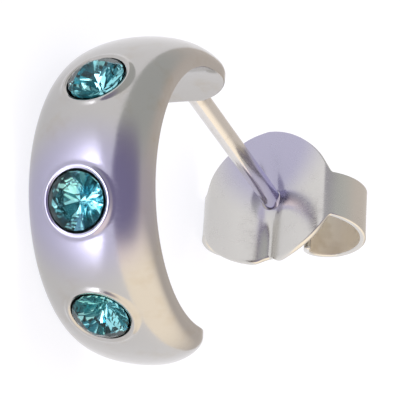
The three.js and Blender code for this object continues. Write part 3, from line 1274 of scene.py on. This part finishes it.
@dataclass
class ButterflyClutch:
    """The clutch: one strip of sheet with a hole for the post and both ends rolled back.

    Its own frame has x along the strip, y across it and z out of its front, back along the post.

    Attributes:
        seat: The end face to the plate's middle, along the post, in millimetres.
        roll: Turn about the post, in degrees.
        yaw: Lean of the plate about its y axis.
        pitch: Lean of the plate about its x axis.
        sheet: The sheet's thickness.
        hole_radius: Radius of the hole.
        dimple: Depth and radius of the pressed dimple round the hole, and how softly its edge runs out.
        plate_half_width: Half the oval plate's width, across the strip.
        plate_half_length: Half its length, along the strip.
        corner_power: Sharpness of the corners where the tongues leave the plate.
        nick: Depth and width of the nick in the lower side of the plate's waist.
        tongue_half_width: Half the strip's width where it leaves the plate.
        tip_half_width: Half its width at the tip.
        bow: Sideways run of both ends per length across the strip, towards the nick.
        drift: Further run of the upper end per length along the strip, which isn't rolled up quite square.
        dish: How far the plate's sides bend back, per square millimetre.
        arcs: Radius and turn of the valley, the face, the shoulder, the roll and the curl.
        edge_round: How far the sheet's rounded edges stand out.
        fill: Share of the valley that is domed out over the post.
        fill_reach: Where that starts, and how far on it is whole.
        crease: Depth and half width of the crease that runs down from the hole to the nick.
        crease_reach: Where that starts, and how far on it is whole.
        step: Most length between two rows of points along the strip.
        rows: Rows of points across it.
        edge_rows: Rows of points round the sheet's edge, with the two rows that it joins.
    """

    seat: float = 9.45
    roll: float = 3.5
    yaw: float = -13.4
    pitch: float = 3.0
    sheet: float = 0.26
    hole_radius: float = 0.47
    dimple: tuple[float, float, float] = (0.05, 0.8, 0.09)
    plate_half_width: float = 3.05
    plate_half_length: float = 3.45
    corner_power: float = 5.0
    nick: tuple[float, float] = (0.33, 0.42)
    tongue_half_width: float = 0.86
    tip_half_width: float = 1.3
    bow: float = 0.06
    drift: float = 0.1
    dish: float = -0.01
    arcs: tuple[tuple[float, float], ...] = (
        (0.85, -28.7),
        (4.0, 34.2),
        (0.8, 21.0),
        (1.65, 155.0),
        (1.2, 140.0),
    )
    edge_round: float = 0.05
    fill: float = 0.75
    fill_reach: tuple[float, float] = (0.5, 2.0)
    crease: tuple[float, float] = (0.16, 0.22)
    crease_reach: tuple[float, float] = (0.6, 1.4)
    step: float = 0.075
    rows: int = 61
    edge_rows: int = 7

    @property
    def lengths(self) -> list[float]:
        """Length of each arc, from the middle of the plate to one tip."""
        return [radius * abs(math.radians(turn)) for radius, turn in self.arcs]

    def path(self) -> tuple[np.ndarray, ...]:
        """Walk along the strip from the middle of the plate to one tip.

        Returns:
            Lengths, and x, z and heading at each.
        """
        lengths = np.linspace(0, sum(self.lengths), 4001)
        bends = np.zeros_like(lengths)
        passed = 0.0
        for (radius, turn), reach in zip(self.arcs, self.lengths):
            bends[lengths >= passed - 1e-9] = math.copysign(1 / radius, turn)
            passed += reach

        def summed(rates: np.ndarray) -> np.ndarray:
            """What has added up at each length, from the rates there."""
            return np.concatenate([[0], np.cumsum((rates[1:] + rates[:-1]) / 2 * lengths[1])])

        heading = summed(bends)
        return lengths, summed(np.cos(heading)), -summed(np.sin(heading)), heading

    def half_width(self, length: np.ndarray, lower: np.ndarray | bool) -> np.ndarray:
        """Half the strip's width, without its rounded edge.

        Args:
            length: Lengths from the strip's middle.
            lower: Whether they are on the lower side, which has the nick.

        Returns:
            The half widths: an oval plate that runs out into a tongue.
        """
        plate = self.plate_half_width * np.sqrt(np.clip(1 - (length / self.plate_half_length) ** 2, 0, None))
        widening = self.tip_half_width - self.tongue_half_width
        tongue = self.tongue_half_width + widening * (length / sum(self.lengths))
        half = (plate**self.corner_power + tongue**self.corner_power) ** (1 / self.corner_power)
        depth, width = self.nick
        return half - np.where(lower, depth * np.exp(-((length / width) ** 2)), 0.0) - self.edge_round

    def bend(self, flat: np.ndarray, depth: float) -> np.ndarray:
        """Bend points of the flat strip into the clutch's shape.

        Args:
            flat: Length along the strip, and place across it as a share of its half width.
            depth: Depth below the outer face.

        Returns:
            Points in the clutch's own frame.
        """
        lengths, xs, zs, headings = self.path()
        side = np.sign(flat[:, 0])
        length = np.abs(flat[:, 0])
        x, z, heading = (np.interp(length, lengths, values) for values in (xs, zs, headings))
        y = flat[:, 1] * self.half_width(length, flat[:, 1] < 0)
        pressed, radius, softness = self.dimple
        press = pressed / (1 + np.exp((np.hypot(length, y) - radius) / softness))
        creased, width = self.crease
        start, run = self.crease_reach
        press += creased * np.exp(-((length / width) ** 2)) * eased((-y - start) / run)
        dish = self.dish * np.clip(np.cos(heading / 2), 0, None) * y**2
        crest = np.argmax(zs)
        start, run = self.fill_reach
        domed = self.fill * eased((y - start) / run)
        z = np.where(length < lengths[crest], z + domed * (zs[crest] - z), z)
        heading = np.where(length < lengths[crest], heading * (1 - domed), heading)
        fall = -(depth + dish + press)
        shift = self.bow * x + np.where(side > 0, self.drift * length, 0.0)
        points = np.stack([side * x, y - shift, z], axis=1)
        outward = np.stack([side * np.sin(heading), 0 * x, np.cos(heading)], axis=1)
        return points + outward * fall[:, None]

    def hole(self) -> RoundHole:
        """The hole for the post in the flat strip.

        Returns:
            The hole.
        """

        def place(radius: float, turn: float) -> tuple[float, float]:
            """Find a spot of the strip.

            Args:
                radius: Its distance from the hole's middle.
                turn: Its turn about it.

            Returns:
                The strip's coordinates there.
            """
            length = radius * math.cos(turn)
            y = radius * math.sin(turn)
            return length, y / float(self.half_width(np.array(abs(length)), y < 0))

        def distance(flat: np.ndarray) -> np.ndarray:
            """How far points of the strip are from the hole's middle."""
            return np.hypot(flat[:, 0], flat[:, 1] * self.half_width(np.abs(flat[:, 0]), flat[:, 1] < 0))

        # Rings close together at the hole's edge, and even ones over the dimple.
        radii = [self.hole_radius + step for step in (0.0, 0.015, 0.035, 0.06, 0.09, 0.13, 0.18)]
        radii += [radii[-1] + 0.055 * step for step in range(1, 10)]
        return RoundHole(place, distance, radii, corners=72)

    def matrix(self, post: Post) -> Matrix:
        """The clutch's place in the hoop's own frame.

        Args:
            post: The post that it slides on.

        Returns:
            The matrix.
        """
        front = -post.way
        strip = Vector((0, 0, 1))
        turn = Matrix((strip, front.cross(strip), front)).transposed()
        lean = Matrix.Identity(3)
        for angle, axis in ((self.roll, "Z"), (self.yaw, "Y"), (self.pitch, "X")):
            lean = lean @ Matrix.Rotation(math.radians(angle), 3, axis)
        return Matrix.Translation(post.root + self.seat * post.way) @ (turn @ lean).to_4x4()

    def build(self, frame: HoopFrame, post: Post, silver: Material, matt: Material) -> None:
        """Make the clutch and hand it over.

        Args:
            frame: Where the hoop lies.
            post: The post that it slides on.
            silver: The finish of its polished face.
            matt: The finish inside its rolls, with painted light.
        """
        tip = sum(self.lengths)
        sheet = Sheet(arc_steps(-tip, tip, self.step), np.linspace(-1, 1, self.rows), [self.hole()])
        count = len(sheet.points)
        skins = [self.bend(sheet.points, depth) for depth in (0.0, self.sheet)]
        shell = Shell(np.concatenate(skins).tolist(), list(sheet.faces))

        edge = sheet.edge
        loop = edge["low"][:-1] + edge["end"][:-1] + edge["high"][:0:-1] + edge["start"][:0:-1]
        front, back = (skin[loop] for skin in skins)
        middle = 0.5 * (front + back)
        thick = front - back
        away = np.cross(np.roll(middle, -1, axis=0) - np.roll(middle, 1, axis=0), thick)
        away /= np.linalg.norm(away, axis=1)[:, None]
        rows = [loop]
        for turn in np.linspace(0, math.pi, self.edge_rows)[1:-1]:
            stand_out = self.edge_round * math.sin(turn) * away
            rows.append(shell.add_row(middle + 0.5 * math.cos(turn) * thick + stand_out))
        rows.append([count + i for i in loop])
        shell.bridge(rows, closed=True)
        rim = sheet.rims[0]
        shell.bridge([rim, [count + i for i in rim]], closed=True)

        # The back comes last, and of it the inside of the rolls, which takes the second finish, with painted
        # light.
        corners = np.array(sheet.faces)
        rolled = np.abs(sheet.points[corners][:, :, 0]).mean(axis=1) > sum(self.lengths[:3])
        backs = corners[:, ::-1] + count
        shell.faces += [tuple(face) for face in np.concatenate([backs[~rolled], backs[rolled]]).tolist()]
        places = [self.matrix(post), frame.matrix]
        clutch = shell.piece("clutch_strip", places, [silver, matt], int(rolled.sum()))
        hand_over(clutch, Body.CLUTCH, "silver_sheet", "butterfly_clutch")


# ---------------------------------------------------------------- studio


@dataclass(frozen=True)
class PoolLamp:
    """A shaded lamp that brightens a soft pool of the tabletop, and that no metal mirrors.

    Attributes:
        name: The lamp's name.
        place: The pool's middle, from the hoop's centre, in metres.
        height: The lamp's height over the tabletop.
        reach: The pool's radius.
        watts: The lamp's power.
        colour: Its colour.
        size: Its radius.
    """

    name: str
    place: tuple[float, float]
    height: float
    reach: float
    watts: float
    colour: str
    size: float = 0.004

    def build(self, centre: Vector) -> None:
        """Hang the lamp straight over its pool.

        Args:
            centre: The hoop's centre.
        """
        lamp = bpy.data.lights.new(self.name, "SPOT")
        lamp.energy = self.watts
        lamp.color = linear(self.colour)[:3]
        lamp.spot_size = 2 * math.atan(self.reach / self.height)
        lamp.spot_blend = 1.0
        lamp.shadow_soft_size = self.size
        light = in_scene(self.name, lamp)
        light.location = (centre.x + self.place[0], centre.y + self.place[1], self.height)
        light.visible_glossy = False


@dataclass(frozen=True)
class TentSide:
    """One side of the pale tent that stands round the tabletop.

    Attributes:
        way: The side's direction, seen from the earring, in the row frame.
        colour: Its colour.
        strength: Its brightness.
        spread: How far from its middle it fades out, in degrees, and how far it stays whole.
    """

    way: tuple[float, float, float]
    colour: str
    strength: float
    spread: tuple[float, float]


@dataclass
class Studio:
    """The camera, the tabletop and the lights.

    Attributes:
        azimuth: The camera's turn about the hoop's upright, from its front towards its axis, in degrees.
        elevation: Its height over the hoop's middle, in degrees.
        roll: Its roll in degrees.
        distance: Its distance from the hoop's centre in millimetres.
        across: How far it stands to the right of the line to the hoop's centre.
        over: How far above that line.
        lens: Its focal length in millimetres, over a sensor 36 millimetres wide.
        tabletop: Half the tabletop's side, in metres.
        roof: The tent's roof colour and brightness.
        sides: The tent's sides.
        pool: The lamp that brightens the tabletop in front of the hoop.
        key_strength: Brightness of the key lamp overhead.
        key_way: Where the key lamp stands.
        key_angle: How wide it looks, in degrees.
    """

    azimuth: float = 23.2
    elevation: float = -0.8
    roll: float = -1.9
    distance: float = 70.9
    across: float = 1.8
    over: float = 0.025
    lens: float = 170.4
    tabletop: float = 1.5
    roof: tuple[str, float] = ("#cbc3bd", 1.26)
    sides: tuple[TentSide, ...] = (
        TentSide((1.0, -0.3, 0.15), "#f2e6d5", 1.75, (75.0, 20.0)),
        TentSide((-1.0, -0.2, 0.1), "#c4c6c5", 1.1, (80.0, 20.0)),
        TentSide((-0.2, -1.0, 0.12), "#8f899f", 1.25, (55.0, 14.0)),
    )
    pool: PoolLamp = PoolLamp("table_pool", (0.0002, -0.0168), 0.08, 0.008, 11.5, "#f9f8ff")
    key_strength: float = 0.9
    key_way: tuple[float, float, float] = (-0.25, 0.4, 0.9)
    key_angle: float = 50.0

    def place_camera(self, frame: HoopFrame) -> None:
        """Make the camera and make it the scene's.

        Args:
            frame: Where the hoop lies.
        """
        turn, rise, roll = (math.radians(a) for a in (self.azimuth, self.elevation, self.roll))
        # Directions in the hoop's own frame: its front is -y, its axis z and its upper arm -x.
        front, axis, up = Vector((0, -1, 0)), Vector((0, 0, 1)), Vector((-1, 0, 0))
        back = math.cos(rise) * (math.cos(turn) * front + math.sin(turn) * axis) + math.sin(rise) * up
        right = up.cross(back).normalized()
        over = back.cross(right)
        right, over = (
            math.cos(roll) * right + math.sin(roll) * over,
            -math.sin(roll) * right + math.cos(roll) * over,
        )
        spot = self.distance * back + self.across * right + self.over * over
        turned = frame.rotation @ Matrix((right, over, back)).transposed()
        lens = bpy.data.cameras.new("studio_camera")
        lens.sensor_width = 36.0
        lens.lens = self.lens
        lens.clip_start = 0.005
        lens.clip_end = 20.0
        camera = in_scene("studio_camera", lens)
        camera.matrix_world = Matrix.Translation(frame.matrix @ spot) @ turned.to_4x4()
        bpy.context.scene.camera = camera

    def hang_tent(self) -> None:
        """Make the world a pale tent: a plain roof whose sides fade into it."""
        world = bpy.data.worlds.new("studio_tent")
        world.use_nodes = True
        tree = world.node_tree
        tree.nodes.clear()
        way = add_node(tree, "ShaderNodeTexCoord").outputs["Generated"]
        colour, strength = self.roof
        shade = add_node(tree, "ShaderNodeBackground", {"Color": linear(colour), "Strength": strength})
        for side in self.sides:
            towards = {0: way, 1: Vector(side.way).normalized()}
            facing = add_node(tree, "ShaderNodeVectorMath", towards, operation="DOT_PRODUCT")
            none, whole = (math.cos(math.radians(angle)) for angle in side.spread)
            share = add_node(
                tree,
                "ShaderNodeMapRange",
                {"Value": facing, "From Min": none, "From Max": whole},
                interpolation_type="SMOOTHERSTEP",
            )
            looks = {"Color": linear(side.colour), "Strength": side.strength}
            cloth = add_node(tree, "ShaderNodeBackground", looks)
            shade = add_node(tree, "ShaderNodeMixShader", {0: share, 1: shade, 2: cloth})
        add_node(tree, "ShaderNodeOutputWorld", {"Surface": shade})
        bpy.context.scene.world = world

    def build(self, frame: HoopFrame) -> None:
        """Set the camera, the tabletop and the lights.

        Args:
            frame: Where the hoop lies.
        """
        self.place_camera(frame)
        mesh = bpy.data.meshes.new("tabletop")
        reach = self.tabletop
        corners = [(-reach, -reach, 0), (reach, -reach, 0), (reach, reach, 0), (-reach, reach, 0)]
        mesh.from_pydata(corners, [], [(0, 1, 2, 3)])
        mesh.materials.append(PaleFloor().material())
        in_scene("tabletop", mesh)
        self.hang_tent()
        self.pool.build(frame.matrix @ Vector((0, 0, 0)))
        lamp = bpy.data.lights.new("key_lamp", "SUN")
        lamp.energy = self.key_strength
        lamp.angle = math.radians(self.key_angle)
        key = in_scene("key_lamp", lamp)
        key.visible_glossy = False
        key.rotation_euler = Vector(self.key_way).to_track_quat("Z", "Y").to_euler()
        bpy.context.scene.view_settings.view_transform = "Standard"


# ---------------------------------------------------------------- the earring


def main() -> None:
    """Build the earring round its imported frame."""
    logging.basicConfig(level=logging.INFO, format="%(name)s: %(message)s")
    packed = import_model()
    hoop = HoopFrame.from_crystals(*(packed["nodes"][setting.node] for setting in SETTINGS))
    Studio().build(hoop)

    # Each silver gets a painted violet reflection: round the middle stone, at the post's clutch end and on
    # the upper half of the clutch's plate.
    band = Band()
    band_silver = PolishedSilver(
        "band_silver",
        colour="#b9b7b4",
        bloom=hoop.matrix @ round_hoop(SETTINGS[1].angle, band.seat_shoulder),
    )
    band.build(hoop, band_silver.material(), DarkenedSilver().material())

    post = Post()
    clutch = ButterflyClutch()
    seat = hoop.matrix @ clutch.matrix(post)
    wire_silver = PolishedSilver(
        "drawn_wire_silver",
        colour="#d8d5d1",
        wave=0.003,
        # Painted violet reflection at the post's clutch end.
        bloom=seat @ Vector((0, 0, 1.0)),
        violet="#d6d3f0",
    )
    post.build(hoop, wire_silver.material())
    Crystal().build(hoop, SETTINGS)
    sheet_silver = PolishedSilver(
        "clutch_sheet_silver",
        colour="#cfcdc8",
        tarnish="#bab7b2",
        roughness=(0.18, 0.3),
        wave=0.004,
        scratch=0.0002,
        film=0.2,
        # Painted violet reflection on the upper half of the clutch's plate.
        bloom=seat @ Vector((0.2, 0.75 * clutch.plate_half_width, 0)),
    )
    clutch.build(hoop, post, sheet_silver.material(), PickledSilver().material())


if __name__ == "__main__":
    main()
